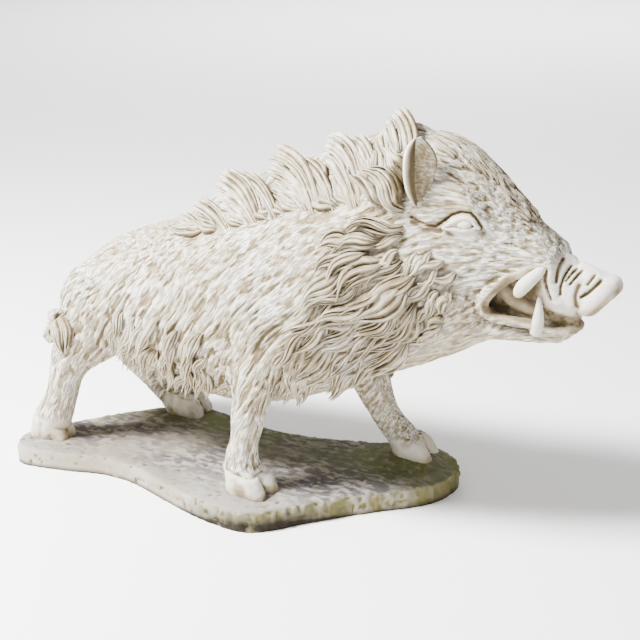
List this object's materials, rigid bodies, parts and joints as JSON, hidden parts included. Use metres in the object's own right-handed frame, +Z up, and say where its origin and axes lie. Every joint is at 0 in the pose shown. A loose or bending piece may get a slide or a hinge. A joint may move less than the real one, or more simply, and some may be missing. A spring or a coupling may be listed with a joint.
{
  "type": "wild boar garden sculpture",
  "caption": "Cast stone figure of a striding wild boar with a bristling crest, shaggy neck mane and open mouth, in one piece with its thin irregular slab base.",
  "frame": {"origin": "middle of the slab's flat underside, on the boar's midline", "axes": "+X towards the boar's snout, +Y to the boar's left, +Z up"},
  "size_m": [1.2311, 0.4453, 0.7914],
  "materials": {
    "cast_stone": "weathered pale cast stone with dirt in the grooves and moss on the slab"
  },
  "bodies": {
    "root": {"boar_and_base": "cast_stone"}
  },
  "joints": []
}
